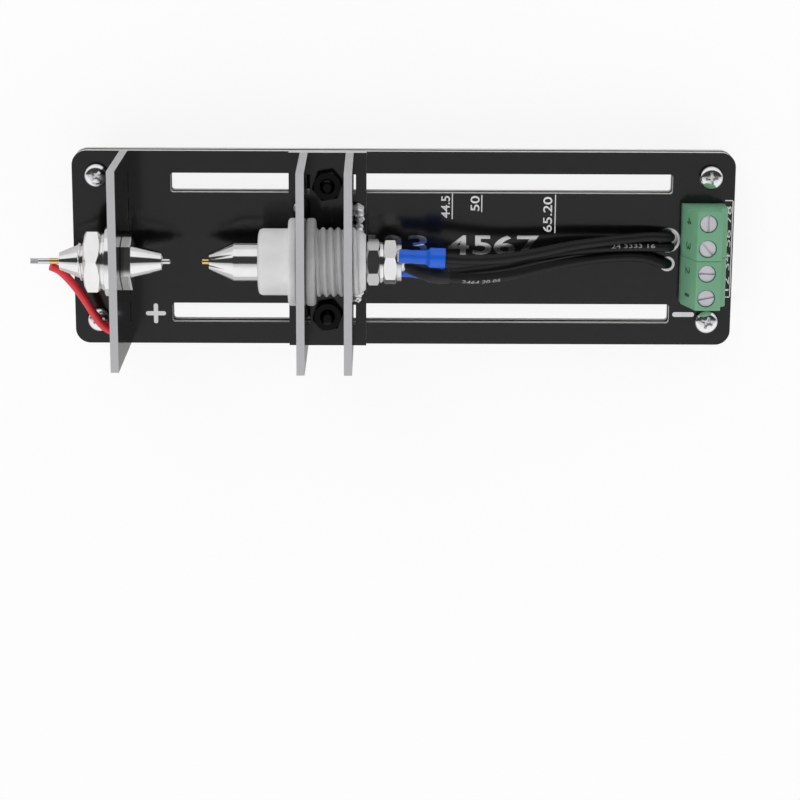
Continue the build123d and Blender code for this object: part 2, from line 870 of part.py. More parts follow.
# Terminal housings: a sloped back, a ledge over the wire entries, one chamber for each pole
def terminal_housing(first_pole):
    own_poles = pole_y[first_pole : first_pole + poles_per_block]
    middle = sum(own_poles) / poles_per_block
    width = poles_per_block * pitch - block_play
    profile_plane = Plane(
        origin=(left_edge + block_x, middle, base_top), x_dir=(1, 0, 0), z_dir=(0, -1, 0)
    )
    with BuildPart() as housing:
        with BuildSketch(profile_plane):
            with BuildLine():
                Polyline(
                    (0, 0),
                    (0, block_side_height),
                    (block_top_start, block_height),
                    (block_top_end, block_height),
                    (block_top_end, block_ledge_height + 1.2),
                    (block_depth - 0.5, block_ledge_height + 0.5),
                    (block_depth, block_ledge_height),
                    (block_depth, 0),
                    close=True,
                )
            make_face()
        extrude(amount=width / 2, both=True)
        for rib_x in (rib_width, block_depth - rib_width):
            with Locations((left_edge + block_x + rib_x, middle + width / 2, base_top + rib_height / 2)):
                Box(rib_width, 2 * rib_depth, rib_height)
            with Locations((left_edge + block_x + rib_x, middle - width / 2, base_top + rib_height / 2)):
                Box(
                    rib_width + 2 * block_play,
                    2 * (rib_depth + block_play),
                    rib_height + 2 * block_play,
                    mode=Mode.SUBTRACT,
                )
        for y in own_poles:
            chamber_middle = (chamber_start + chamber_end) / 2
            with Locations((left_edge + block_x + chamber_middle, y, base_top + chamber_height / 2)):
                Box(chamber_end - chamber_start, chamber_width, chamber_height, mode=Mode.SUBTRACT)
            entry_z = base_top + clamp_bottom + clamp_floor + entry_height / 2
            with Locations((left_edge + block_x + block_depth - 0.5, y, entry_z)):
                Box(3.0, entry_width, entry_height, mode=Mode.SUBTRACT)
            head_seat = base_top + block_height - terminal_head_recess - terminal_head_height
            with BuildSketch(Plane(origin=(left_edge + block_x + pole_x, y, head_seat))):
                Circle(terminal_head_radius + terminal_head_play)
            extrude(amount=block_height, mode=Mode.SUBTRACT)
            with BuildSketch(Plane(origin=(left_edge + block_x + pole_x, y, base_top))):
                Circle(terminal_thread_radius + terminal_head_play)
            extrude(amount=block_height, mode=Mode.SUBTRACT)
    return housing


terminal_housing_a = terminal_housing(0)
terminal_housing_b = terminal_housing(poles_per_block)

# Contact bars: a leg on the board, a bar through the clamp's window and a pin below
bar_top = base_top + bar_bottom + bar_thickness
with BuildPart() as terminal_bars:
    for y in pole_y:
        bar_x = left_edge + block_x + bar_start
        with Locations((bar_x + bar_thickness / 2, y, base_top + (bar_bottom + bar_thickness) / 2)):
            Box(bar_thickness, bar_width, bar_bottom + bar_thickness)
        with Locations((bar_x + bar_length / 2, y, bar_top - bar_thickness / 2)):
            Box(bar_length, bar_width, bar_thickness)
        pin_length = board_thickness + pin_length_below
        with Locations((bar_x + bar_thickness / 2, y, base_top - pin_length / 2)):
            Box(bar_thickness, pin_width, pin_length)


# Terminal screws and the clamps that rise on them
def terminal_screw(y, turn):
    head_top = base_top + block_height - terminal_head_recess
    shank_bottom = bar_top + 0.2
    centre = (left_edge + block_x + pole_x, y)
    with BuildPart() as screw:
        with BuildSketch(Plane(origin=(*centre, shank_bottom))):
            Circle(terminal_thread_radius)
        extrude(amount=head_top - shank_bottom)
        with BuildSketch(Plane(origin=(*centre, head_top))):
            Circle(terminal_head_radius)
        extrude(amount=-terminal_head_height)
        chamfer(screw.faces().sort_by(Axis.Z)[-1].edges(), 0.12)
        with BuildSketch(Plane(origin=(*centre, head_top))):
            Rectangle(3 * terminal_head_radius, terminal_slot_width, rotation=turn)
        extrude(amount=-terminal_slot_depth, mode=Mode.SUBTRACT)
    return screw


def wire_clamp(y):
    centre_x = left_edge + block_x + pole_x
    bottom = base_top + clamp_bottom
    window = clamp_height - clamp_floor - clamp_roof
    with BuildPart() as cage:
        with Locations((centre_x, y, bottom + clamp_height / 2)):
            Box(clamp_length, clamp_width, clamp_height)
        with Locations((centre_x, y, bottom + clamp_floor + window / 2)):
            Box(clamp_length, clamp_width - 2 * clamp_side, window, mode=Mode.SUBTRACT)
        with BuildSketch(Plane(origin=(centre_x, y, bottom + clamp_height - clamp_roof))):
            Circle(terminal_thread_radius + terminal_thread_play)
        extrude(amount=clamp_roof, mode=Mode.SUBTRACT)
    return cage


terminal_screws = [terminal_screw(y, turn) for y, turn in zip(pole_y, terminal_slot_turns)]
wire_clamps = [wire_clamp(y) for y in pole_y]

# Eyelets where the leads go through the base board
with BuildPart() as lead_eyelets:
    for x, y, radius in eyelets:
        with BuildSketch(Plane(origin=(left_edge + x, y, base_bottom))):
            Circle(radius)
        extrude(amount=board_thickness)
        with BuildSketch(Plane(origin=(left_edge + x, y, base_top))):
            Circle(radius + eyelet_lip)
        extrude(amount=eyelet_rim)
        with BuildSketch(Plane(origin=(left_edge + x, y, base_bottom))):
            Circle(radius - eyelet_wall)
        extrude(amount=board_thickness + eyelet_rim, mode=Mode.SUBTRACT)

# Solder: cones under the eyelets and the terminal pins, and a bead at the red lead's start
with BuildPart() as board_joints:
    for x, y, radius in eyelets:
        with BuildSketch(Plane(origin=(left_edge + x, y, base_bottom))):
            Circle(radius + 0.15)
        extrude(amount=-joint_height, taper=30)
    for y in pole_y:
        with BuildSketch(Plane(origin=(left_edge + pin_x, y, base_bottom))):
            Circle(1.1)
        extrude(amount=-joint_height, taper=30)
        with Locations((left_edge + pin_x, y, base_bottom - joint_height / 2)):
            Box(bar_thickness, pin_width, joint_height, mode=Mode.SUBTRACT)

# Lead routes: a share of the way from the crimps to the eyelets, y, and height above the board
lead_end = -board_thickness


def between(start, end, share):
    """The point at that share of the straight line from start to end."""
    return tuple(a + share * (b - a) for a, b in zip(start, end))


def run_to_eyelet(first_points, way, hole):
    """The first points, then the way to the eyelet, and straight down through the hole."""
    run = eyelet_x - crimp_end_x
    middle = [(crimp_end_x + share * run, y, z) for share, y, z in way]
    x, y, height = hole
    return first_points + middle + [(x, y, height), (x, y, lead_end)]


red_route = [
    (-2.9, -1.35, 13.15),
    (-0.6, -2.4, 12.1),
    (1.5, -5.3, 10.0),
    (3.6, -10.3, 6.6),
    (5.3, -14.7, 3.9),
    (red_hole[0], red_hole[1], 2.6),
    (red_hole[0], red_hole[1], lead_end),
]
upper_route = run_to_eyelet(
    [between(upper_start, upper_end, 0.57), (crimp_end_x + 0.8, 1.53, 18.12)],
    [
        (0.15, 1.25, 16.4),
        (0.29, 1.5, 13.8),
        (0.445, 2.0, 11.2),
        (0.6, 2.45, 8.6),
        (0.742, 2.95, 6.0),
        (0.843, 3.25, 4.2),
        (0.908, 3.35, 3.2),
    ],
    (*pair_points[0], 2.5),
)
lower_route = run_to_eyelet(
    [between(lower_start, lower_end, 0.57), (crimp_end_x + 1.0, -2.65, 13.0)],
    [
        (0.14, -2.55, 10.9),
        (0.27, -1.7, 8.9),
        (0.41, -0.35, 7.2),
        (0.555, 0.3, 5.7),
        (0.694, 0.6, 4.4),
        (0.813, 0.85, 3.2),
        (0.91, 0.95, 2.5),
    ],
    (*pair_points[1], 2.4),
)
sense_route = run_to_eyelet(
    [(moving_socket_end_x + 0.1, 0, electrode_height), (stem_end_x + 4.4, -0.18, 14.38)],
    [
        (0.015, -2.4, 16.7),
        (0.126, -3.2, 14.6),
        (0.247, -3.1, 12.0),
        (0.367, -2.7, 9.3),
        (0.5, -2.1, 6.6),
        (0.64, -1.6, 4.3),
        (0.782, -1.3, 2.7),
        (0.908, -1.75, 2.2),
    ],
    (eyelet_x, single_hole_y, 2.45),
)
red_lead = lead("red_lead", red_route, red_lead_radius)
black_lead_upper = lead("black_lead_upper", upper_route, black_lead_radius)
black_lead_lower = lead("black_lead_lower", lower_route, black_lead_radius)
black_lead_sense = lead("black_lead_sense", sense_route, black_lead_radius)

# Every piece is written to its own file
pieces = {
    "base_board": base_board,
    "cover_board": cover_board,
    "standoffs": standoffs,
    "board_spacers": board_spacers,
    "corner_screws": corner_screws,
    "fixed_plate": fixed_plate,
    "fixed_plate_solder": fixed_plate_solder,
    "fixed_electrode": fixed_electrode,
    "fixed_electrode_nut": fixed_electrode_nut,
    "fixed_lock_washer": fixed_lock_washer,
    "contact_washer": contact_washer,
    "fixed_insulator": fixed_insulator,
    "fixed_probe_barrel": fixed_probe_barrel,
    "fixed_probe_socket": fixed_probe_socket,
    "fixed_sense_pin": fixed_sense_pin,
    "carriage_board": carriage_board,
    "carriage_front_plate": carriage_front_plate,
    "carriage_rear_plate": carriage_rear_plate,
    "carriage_solder": carriage_solder,
    "bushing": bushing,
    "bushing_nut": bushing_nut,
    "clamp_nut_front": clamp_nut_front,
    "clamp_nut_rear": clamp_nut_rear,
    "thumb_screw_front": thumb_screw_front,
    "thumb_screw_rear": thumb_screw_rear,
    "moving_electrode": moving_electrode,
    "plunger_spring": plunger_spring,
    "stop_nut": stop_nut,
    "plunger_washers": plunger_washers,
    "lock_nut": lock_nut,
    "moving_insulator": moving_insulator,
    "moving_probe_barrel": moving_probe_barrel,
    "moving_probe_socket": moving_probe_socket,
    "moving_sense_pin": moving_sense_pin,
    "ring_terminal_upper": ring_terminal_upper,
    "ring_terminal_lower": ring_terminal_lower,
    "terminal_sleeve_upper": terminal_sleeve_upper,
    "terminal_sleeve_lower": terminal_sleeve_lower,
    "heat_shrink": heat_shrink,
    "terminal_housing_a": terminal_housing_a,
    "terminal_housing_b": terminal_housing_b,
    "terminal_bars": terminal_bars,
    "lead_eyelets": lead_eyelets,
    "board_joints": board_joints,
    "red_lead": red_lead,
    "black_lead_upper": black_lead_upper,
    "black_lead_lower": black_lead_lower,
    "black_lead_sense": black_lead_sense,
}
for pole, (screw, cage) in enumerate(zip(terminal_screws, wire_clamps), start=1):
    pieces[f"terminal_screw_{pole}"] = screw
    pieces[f"wire_clamp_{pole}"] = cage

os.makedirs("parts", exist_ok=True)
for name, piece in pieces.items():
    save(piece, name)
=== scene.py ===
import math

import bmesh
import bpy
from mathutils import Matrix, Vector, noise


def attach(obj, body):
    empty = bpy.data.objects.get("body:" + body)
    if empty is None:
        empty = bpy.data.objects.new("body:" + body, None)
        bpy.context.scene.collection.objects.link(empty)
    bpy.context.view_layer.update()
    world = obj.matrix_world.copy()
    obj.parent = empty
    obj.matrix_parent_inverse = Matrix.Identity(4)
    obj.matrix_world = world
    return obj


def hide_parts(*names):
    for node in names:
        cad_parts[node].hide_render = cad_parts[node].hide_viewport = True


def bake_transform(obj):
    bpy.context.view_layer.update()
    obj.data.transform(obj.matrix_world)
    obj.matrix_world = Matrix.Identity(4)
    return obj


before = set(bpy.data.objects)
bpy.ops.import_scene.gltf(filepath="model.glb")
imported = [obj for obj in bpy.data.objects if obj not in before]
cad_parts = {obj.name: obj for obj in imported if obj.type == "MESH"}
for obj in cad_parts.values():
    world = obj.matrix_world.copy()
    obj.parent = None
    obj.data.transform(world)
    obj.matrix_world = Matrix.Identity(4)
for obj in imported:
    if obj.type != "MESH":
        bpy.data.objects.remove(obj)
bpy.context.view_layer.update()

# Places are given in millimetres: x from the base board's left edge, y from its middle line,
# and z above the base board's top face.
MM = 0.001
BOARD_LEFT = -64.0
BOARD_TOP = 14.4
AXIS_HEIGHT = 14.2
BOARD_LENGTH = 135.0
BOARD_WIDTH = 40.0
MERGE_WITHIN = 0.001 * MM
STEPS_ROUND = 96
THREAD_STEPS_ROUND = 64


def at(x, y, z):
    """A point on the holder, in metres."""
    return Vector(((BOARD_LEFT + x) * MM, y * MM, (BOARD_TOP + z) * MM))


def linear(hex_colour):
    """An sRGB hex colour as linear red, green, blue and alpha."""
    channels = [int(hex_colour[i : i + 2], 16) / 255 for i in (1, 3, 5)]
    return (*[c / 12.92 if c <= 0.04045 else ((c + 0.055) / 1.055) ** 2.4 for c in channels], 1)


# Materials


def add(tree, kind, inputs=None, **settings):
    """Adds a node with its settings and its inputs, each a value or the socket that feeds it."""
    node = tree.nodes.new(kind)
    for name, value in settings.items():
        setattr(node, name, value)
    for name, value in (inputs or {}).items():
        if isinstance(value, bpy.types.NodeSocket):
            tree.links.new(value, node.inputs[name])
        else:
            node.inputs[name].default_value = value
    return node


def finish(name, **sockets):
    """A new material with a Principled shader, whose even values are set on its own sockets."""
    material = bpy.data.materials.new(name)
    material.use_nodes = True
    tree = material.node_tree
    tree.nodes.clear()
    values = {key.replace("_", " "): value for key, value in sockets.items()}
    shader = add(tree, "ShaderNodeBsdfPrincipled", values)
    output = add(tree, "ShaderNodeOutputMaterial")
    tree.links.new(shader.outputs[0], output.inputs["Surface"])
    return material, tree, shader


def ramp(tree, factor, stops):
    """A colour ramp of (position, colour) stops fed by factor."""
    node = add(tree, "ShaderNodeValToRGB", {"Fac": factor})
    elements = node.color_ramp.elements
    while len(elements) < len(stops):
        elements.new(0.5)
    for element, (position, colour) in zip(elements, stops):
        element.position = position
        element.color = colour
    return node.outputs["Color"]


def grey(level):
    return (level, level, level, 1)


def speckle(tree, size_mm, detail=3.0, stretch=(1, 1, 1)):
    """Noise in Object coordinates whose features are size_mm across, drawn out by stretch."""
    coordinates = add(tree, "ShaderNodeTexCoord")
    scale = [1 / (size_mm * MM * s) for s in stretch]
    mapped = add(
        tree, "ShaderNodeMapping", {"Vector": coordinates.outputs["Object"], "Scale": scale}
    )
    texture = add(
        tree,
        "ShaderNodeTexNoise",
        {"Vector": mapped.outputs[0], "Scale": 1.0, "Detail": detail},
    )
    return texture.outputs["Fac"]


def relief(tree, shader, height, depth_mm, strength):
    """Bumps the shader's normal by height, whose full range is depth_mm."""
    bump = add(
        tree,
        "ShaderNodeBump",
        {"Height": height, "Distance": depth_mm * MM, "Strength": strength},
    )
    tree.links.new(bump.outputs[0], shader.inputs["Normal"])


def circuit_board(name, face_axis, edge_light, edge_dark):
    """Glossy black solder mask on both faces, with bare glass-epoxy laminate on every cut edge."""
    material, tree, shader = finish(name, Specular_IOR_Level=0.5)
    coordinates = add(tree, "ShaderNodeTexCoord")
    normal = add(tree, "ShaderNodeSeparateXYZ", {"Vector": coordinates.outputs["Normal"]})
    squared = add(
        tree,
        "ShaderNodeMath",
        {0: normal.outputs[face_axis], 1: normal.outputs[face_axis]},
        operation="MULTIPLY",
    )
    on_face = add(tree, "ShaderNodeMath", {0: squared.outputs[0], 1: 0.5}, operation="GREATER_THAN")
    # the mask has a slight orange peel, a few millimetres across
    peel = speckle(tree, 2.5, detail=1.0)
    mask_colour = ramp(tree, peel, [(0.3, linear("#0b0b0c")), (0.7, linear("#101011"))])
    # sawn laminate: pale fibres, drawn 0.1 mm across so that they show
    fibre = speckle(tree, 0.1, detail=2.0, stretch=(3, 3, 1))
    edge_colour = ramp(tree, fibre, [(0.25, linear(edge_dark)), (0.75, linear(edge_light))])
    colour = add(
        tree,
        "ShaderNodeMix",
        {"Factor": on_face.outputs[0], "A": edge_colour, "B": mask_colour},
        data_type="RGBA",
    )
    roughness = add(
        tree,
        "ShaderNodeMapRange",
        {"Value": on_face.outputs[0], "To Min": 0.6, "To Max": 0.13},
    )
    tree.links.new(colour.outputs["Result"], shader.inputs["Base Color"])
    tree.links.new(roughness.outputs[0], shader.inputs["Roughness"])
    relief(tree, shader, peel, depth_mm=0.02, strength=0.25)
    return material


def plated_metal(name, colour, roughness, marks_mm=0.12, depth_mm=0.004):
    """Turned and plated metal: bright, with fine tool marks square to the electrode's axis."""
    material, tree, shader = finish(name, Metallic=1.0)
    # real marks are a few hundredths of a millimetre apart, and are drawn coarser to show
    marks = speckle(tree, marks_mm, detail=2.0, stretch=(1, 40, 40))
    cloud = speckle(tree, 3.0)
    dark = tuple(0.93 * c for c in linear(colour)[:3]) + (1,)
    tree.links.new(
        ramp(tree, cloud, [(0.3, dark), (0.7, linear(colour))]), shader.inputs["Base Color"]
    )
    spread = add(
        tree,
        "ShaderNodeMapRange",
        {"Value": marks, "To Min": roughness * 0.8, "To Max": roughness * 1.3},
    )
    tree.links.new(spread.outputs[0], shader.inputs["Roughness"])
    relief(tree, shader, marks, depth_mm, strength=0.5)
    return material


def even_skin(name, colour, roughness, grain_mm=0.3, lighter=1.15, **sockets):
    """Plastic, silicone, ink or blacking: one colour that drifts slightly, with a faint grain."""
    material, tree, shader = finish(name, Roughness=roughness, **sockets)
    drift = speckle(tree, 6.0)
    base = linear(colour)
    light = tuple(min(1.0, lighter * c) for c in base[:3]) + (1,)
    tree.links.new(ramp(tree, drift, [(0.3, base), (0.7, light)]), shader.inputs["Base Color"])
    # the grain is drawn coarser than the real one, so that it shows
    relief(tree, shader, speckle(tree, grain_mm), depth_mm=0.01, strength=0.35)
    return material


board_mask = circuit_board("black solder mask on FR4 laminate", "Z", "#efefee", "#d6d6d4")
# the plates are the same laminate as the base board; their cut edges get a darker grey, which is
# painted shade
plate_mask_shaded_edges = circuit_board("black solder mask on upright FR4 laminate", "X", "#c5c5c7", "#bfbfc1")
# nickel over turned brass: near white and mirror-like
nickel = plated_metal("nickel plated turned brass", "#f3f2f2", 0.1)
# bright zinc over steel: white, and a little softer than nickel
bright_zinc = plated_metal("zinc plated steel", "#f2f2f4", 0.14, marks_mm=0.3)
# zinc with a blue passivation: satin, and very slightly lavender
terminal_zinc = plated_metal("blue passivated zinc screw", "#fbf7ff", 0.55, marks_mm=0.5)
# turned brass hexagon bar: warm pale yellow with a soft sheen
brass = plated_metal("turned brass hexagon bar", "#e6c08c", 0.22, marks_mm=0.1)
# hard gold plate: pale yellow with a clear glint
gold = plated_metal("gold plated probe", "#edcb88", 0.18, marks_mm=0.1)
# tinned copper, pressed or turned: bright grey-white
tin = plated_metal("tin plated copper", "#e4e4e6", 0.2, marks_mm=0.2)
# tinned copper, flat on the board: mirrors the room, and darkens where it mirrors the leads
bare_numerals = plated_metal(
    "tin plated board copper", "#f4f4f4", 0.12, marks_mm=0.6, depth_mm=0.002
)
# drawn steel wire: plain grey with a broad shine
spring_wire = plated_metal("drawn spring wire", "#b9b9bb", 0.3)
# chemically blackened steel: near black, with only a faint grey glint
blackened = even_skin(
    "blackened thumb screw", "#060607", 0.2, grain_mm=0.4, lighter=1.3, Specular_IOR_Level=0.15
)
# polyamide, undyed: milky and slightly see-through
nylon = even_skin(
    "natural nylon",
    "#ececed",
    0.4,
    Subsurface_Weight=0.5,
    Subsurface_Radius=(1.0, 1.0, 1.0),
    Subsurface_Scale=0.0015,
)
# nylon washers: plain white and half matt
spacer_nylon = even_skin("white nylon washer", "#d8d8d6", 0.5)
# dyed polyamide: an even soft green with a fine moulded grain
green_polyamide = even_skin(
    "green moulded polyamide", "#76ae8a", 0.42, grain_mm=0.2, lighter=1.08
)
# the same polyamide with painted shade where its moulded numbers stand: a dark green
green_painted_shade = even_skin("moulded numbers in painted shade", "#33543f", 0.6)
# vinyl sleeve: a strong blue with a broad soft shine
blue_vinyl = even_skin("blue vinyl sleeve", "#1862dc", 0.34, grain_mm=1.0)
# thin insulating plastic tube: off-white and half matt
insulator = even_skin("white insulating sleeve", "#d8d6cf", 0.5)
# shrunk polyolefin tube: grey-black and dull
heat_shrink = even_skin("black heat shrink tube", "#161617", 0.5, grain_mm=0.8)
# extruded silicone: black and dull, with a soft light along its upper side
black_silicone = even_skin(
    "black silicone lead", "#0e0e0f", 0.5, grain_mm=0.5, Specular_IOR_Level=0.35
)
# extruded silicone, dyed: a bright and very slightly pink red
red_silicone = even_skin("red silicone lead", "#ec3844", 0.45, grain_mm=0.5)
# screen-printed epoxy ink: flat white
white_ink = even_skin("white epoxy legend ink", "#fbfbfb", 0.55, grain_mm=0.15)
# ink printed on the leads: pale grey and flat
grey_ink = even_skin("printed marking on silicone", "#b4b4b4", 0.6, grain_mm=0.15)


def solder_finish():
    """Frozen solder: near white and bright, with a ripple about a millimetre across."""
    material, tree, shader = finish("bright solder", Metallic=0.6)
    ripple = speckle(tree, 0.9)
    tree.links.new(
        ramp(tree, ripple, [(0.3, linear("#f0f0f2")), (0.7, linear("#fdfdfe"))]),
        shader.inputs["Base Color"],
    )
    spread = add(tree, "ShaderNodeMapRange", {"Value": ripple, "To Min": 0.15, "To Max": 0.4})
    tree.links.new(spread.outputs[0], shader.inputs["Roughness"])
    relief(tree, shader, ripple, depth_mm=0.08, strength=0.5)
    return material


solder = solder_finish()

node_finishes = {
    board_mask: ["base_board", "cover_board", "carriage_board"],
    plate_mask_shaded_edges: ["fixed_plate", "carriage_front_plate", "carriage_rear_plate"],
    brass: ["standoffs"],
    bright_zinc: ["corner_screws"],
    blackened: ["clamp_nut_front", "clamp_nut_rear", "thumb_screw_front", "thumb_screw_rear"],
    spacer_nylon: ["board_spacers"],
    nickel: ["fixed_electrode", "fixed_electrode_nut", "fixed_lock_washer", "contact_washer",
             "moving_electrode", "stop_nut", "lock_nut", "plunger_washers"],
    insulator: ["fixed_insulator", "moving_insulator"],
    gold: ["fixed_probe_barrel", "moving_probe_barrel", "moving_sense_pin"],
    tin: ["fixed_probe_socket", "moving_probe_socket", "fixed_sense_pin", "ring_terminal_upper",
          "ring_terminal_lower", "lead_eyelets"],
    spring_wire: ["plunger_spring"],
    nylon: ["bushing", "bushing_nut"],
    blue_vinyl: ["terminal_sleeve_upper", "terminal_sleeve_lower"],
    heat_shrink: ["heat_shrink"],
    green_polyamide: ["terminal_housing_a", "terminal_housing_b"],
    terminal_zinc: ["terminal_bars"] + [f"terminal_screw_{n}" for n in range(1, 5)]
    + [f"wire_clamp_{n}" for n in range(1, 5)],
    solder: ["fixed_plate_solder", "carriage_solder", "board_joints"],
    black_silicone: ["black_lead_upper", "black_lead_lower", "black_lead_sense"],
    red_silicone: ["red_lead"],
}
for material, names in node_finishes.items():
    for name in names:
        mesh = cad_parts[name].data
        mesh.materials.clear()
        mesh.materials.append(material)


# Pieces


def piece(name, mesh, material, body, smooth_degrees=35):
    """Puts a finished mesh in the scene with its finish, on the body that carries it."""
    obj = bpy.data.objects.new(name, mesh)
    bpy.context.scene.collection.objects.link(obj)
    mesh.materials.clear()
    mesh.materials.append(material)
    mesh.polygons.foreach_set("use_smooth", [True] * len(mesh.polygons))
    mesh.set_sharp_from_angle(angle=math.radians(smooth_degrees))
    if body:
        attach(obj, body)
    return obj


def mesh_of(name, bm):
    """The mesh of a finished bmesh, with its doubles merged and its normals pointing out."""
    bmesh.ops.remove_doubles(bm, verts=bm.verts, dist=MERGE_WITHIN)
    bmesh.ops.recalc_face_normals(bm, faces=bm.faces)
    mesh = bpy.data.meshes.new(name)
    bm.to_mesh(mesh)
    bm.free()
    return mesh


def moved(bm, made, offset):
    """Shifts the vertices among freshly made geometry by an offset in millimetres."""
    verts = [item for item in made if isinstance(item, bmesh.types.BMVert)]
    bmesh.ops.translate(bm, verts=verts, vec=Vector(offset) * MM)


# Local z runs along the electrodes' axis, from the base board's left edge
ELECTRODE_FRAME = Matrix.Translation(at(0, 0, AXIS_HEIGHT)) @ Matrix(
    ((0, 0, 1, 0), (1, 0, 0, 0), (0, 1, 0, 0), (0, 0, 0, 1))
)


def lathe(outline, placing=ELECTRODE_FRAME, closed=True, eased=0.08):
    """A bmesh of (along, radius) points, in millimetres, turned about the z axis of placing."""
    bm = bmesh.new()
    verts = [bm.verts.new((radius * MM, 0, along * MM)) for along, radius in outline]
    pairs = list(zip(verts, verts[1:])) + ([(verts[-1], verts[0])] if closed else [])
    edges = [bm.edges.new(pair) for pair in pairs]
    bmesh.ops.spin(
        bm,
        geom=verts + edges,
        axis=(0, 0, 1),
        angle=2 * math.pi,
        steps=STEPS_ROUND,
        use_merge=True,
    )
    bmesh.ops.transform(bm, matrix=placing, verts=bm.verts)
    if eased:
        ease(bm, eased)
    return bm


def ease(bm, width):
    """Rounds every edge that turns by more than 25 degrees, over a width in millimetres."""
    bmesh.ops.remove_doubles(bm, verts=bm.verts, dist=MERGE_WITHIN)
    bmesh.ops.recalc_face_normals(bm, faces=bm.faces)
    limit = math.radians(25)
    sharp = [e for e in bm.edges if e.is_manifold and e.calc_face_angle() > limit]
    bmesh.ops.bevel(
        bm,
        geom=sharp,
        offset=width * MM,
        offset_type="OFFSET",
        affect="EDGES",
        segments=2,
        profile=0.5,
        material=-1,
        clamp_overlap=True,
    )


def hexagon(x, thickness, across_flats, turn):
    """A hexagonal prism on the electrodes' axis; at a turn of 0 it has a flat on top."""
    bm = bmesh.new()
    made = bmesh.ops.create_circle(
        bm,
        cap_ends=True,
        segments=6,
        radius=across_flats / math.sqrt(3) * MM,
        matrix=ELECTRODE_FRAME
        @ Matrix.Translation((0, 0, x * MM))
        @ Matrix.Rotation(math.radians(turn - 30), 4, "Z"),
    )
    grown = bmesh.ops.extrude_face_region(bm, geom=[made["verts"][0].link_faces[0]])
    moved(bm, grown["geom"], (thickness, 0, 0))
    return bm


def joined(name, parts):
    """One mesh of several bmeshes, each of them closed."""
    bm = bmesh.new()
    for number, part in enumerate(parts):
        bm.from_mesh(mesh_of(f"{name}_{number}", part))
    mesh = bpy.data.meshes.new(name)
    bm.to_mesh(mesh)
    bm.free()
    return mesh


def combined(name, base, tools, operation="DIFFERENCE"):
    """The base cut by the tools, or cut down to what it shares with them."""
    meshes = [mesh_of(f"{name}_{n}", bm) for n, bm in enumerate([base] + tools)]
    objects = [bpy.data.objects.new(mesh.name, mesh) for mesh in meshes]
    for obj in objects:
        bpy.context.scene.collection.objects.link(obj)
    for tool in objects[1:]:
        modifier = objects[0].modifiers.new("cut", "BOOLEAN")
        modifier.operation = operation
        modifier.solver = "EXACT"
        modifier.object = tool
    bpy.context.view_layer.update()
    graph = bpy.context.evaluated_depsgraph_get()
    result = bpy.data.meshes.new_from_object(objects[0].evaluated_get(graph))
    result.name = name
    for obj in objects:
        bpy.data.objects.remove(obj)
    return result


def hexagon_nut(name, x, thickness, across_flats, bore, turn):
    """A hexagonal nut, chamfered at 30 degrees round its corners and at its bore."""
    clearance, bore_bevel = 0.02, 0.3
    corner = across_flats / math.sqrt(3) + clearance
    flat = 0.47 * across_flats
    slope = (corner - flat) * math.tan(math.radians(30))
    end = x + thickness
    limit = lathe(
        [(x, bore + bore_bevel), (x, flat), (x + slope, corner), (end - slope, corner),
         (end, flat), (end, bore + bore_bevel), (end - bore_bevel, bore), (x + bore_bevel, bore)],
        eased=0,
    )
    return combined(name, hexagon(x, thickness, across_flats, turn), [limit], "INTERSECT")


def thread(start, end, root, crest, pitch, fade):
    """A helical ridge on a core of radius root, which fades out over its last millimetres."""
    turns = (end - start) / pitch
    steps = round(THREAD_STEPS_ROUND * turns)
    # the foot is sunk a little into the core, and the tooth's widths are shares of the pitch
    foot = root - 0.08
    half_foot, half_crest = 0.46, 0.12
    tooth = [(-half_foot, foot), (-half_crest, crest), (half_crest, crest), (half_foot, foot)]
    bm = bmesh.new()
    verts = [bm.verts.new((r * MM, 0, (start + share * pitch) * MM)) for share, r in tooth]
    edges = [bm.edges.new(pair) for pair in zip(verts, verts[1:] + verts[:1])]
    bmesh.ops.spin(
        bm,
        geom=verts + edges,
        axis=(0, 0, 1),
        angle=2 * math.pi * turns,
        steps=steps,
        dvec=(0, 0, (end - start) * MM / steps),
    )
    for vert in bm.verts:
        radius = math.hypot(vert.co.x, vert.co.y) / MM
        allowed = foot + (crest - foot) * max(0.0, (end - vert.co.z / MM) / fade)
        if radius > allowed:
            vert.co.x *= allowed / radius
            vert.co.y *= allowed / radius
    bmesh.ops.holes_fill(bm, edges=[e for e in bm.edges if e.is_boundary], sides=4)
    bmesh.ops.transform(bm, matrix=ELECTRODE_FRAME, verts=bm.verts)
    return bm


def block(low, high):
    """A box between two corners, in millimetres."""
    bm = bmesh.new()
    bmesh.ops.create_cube(bm, size=1.0)
    low, high = at(*low), at(*high)
    bmesh.ops.scale(bm, verts=bm.verts, vec=high - low)
    bmesh.ops.translate(bm, verts=bm.verts, vec=(low + high) / 2)
    return bm


def lettering(text, origin, across, up, width, height, thickness=0.03, weight=0.0):
    """Plain numerals fitted to a width and a height, standing proud of their face by thickness."""
    curve = bpy.data.curves.new("numerals", "FONT")
    curve.body = text
    curve.extrude = 0.5
    curve.offset = weight
    holder = bpy.data.objects.new("numerals", curve)
    bpy.context.scene.collection.objects.link(holder)
    bpy.context.view_layer.update()
    flat = bpy.data.meshes.new_from_object(
        holder.evaluated_get(bpy.context.evaluated_depsgraph_get())
    )
    bpy.data.objects.remove(holder)
    bm = bmesh.new()
    bm.from_mesh(flat)
    low = Vector([min(v.co[i] for v in bm.verts) for i in range(3)])
    high = Vector([max(v.co[i] for v in bm.verts) for i in range(3)])
    size = high - low
    bmesh.ops.translate(bm, verts=bm.verts, vec=-low)
    bmesh.ops.scale(
        bm,
        verts=bm.verts,
        vec=(width * MM / size.x, height * MM / size.y, thickness * MM / size.z),
    )
    across, up = Vector(across), Vector(up)
    turn = Matrix((across, up, across.cross(up))).transposed().to_4x4()
    bmesh.ops.transform(bm, matrix=Matrix.Translation(at(*origin)) @ turn, verts=bm.verts)
    return bm


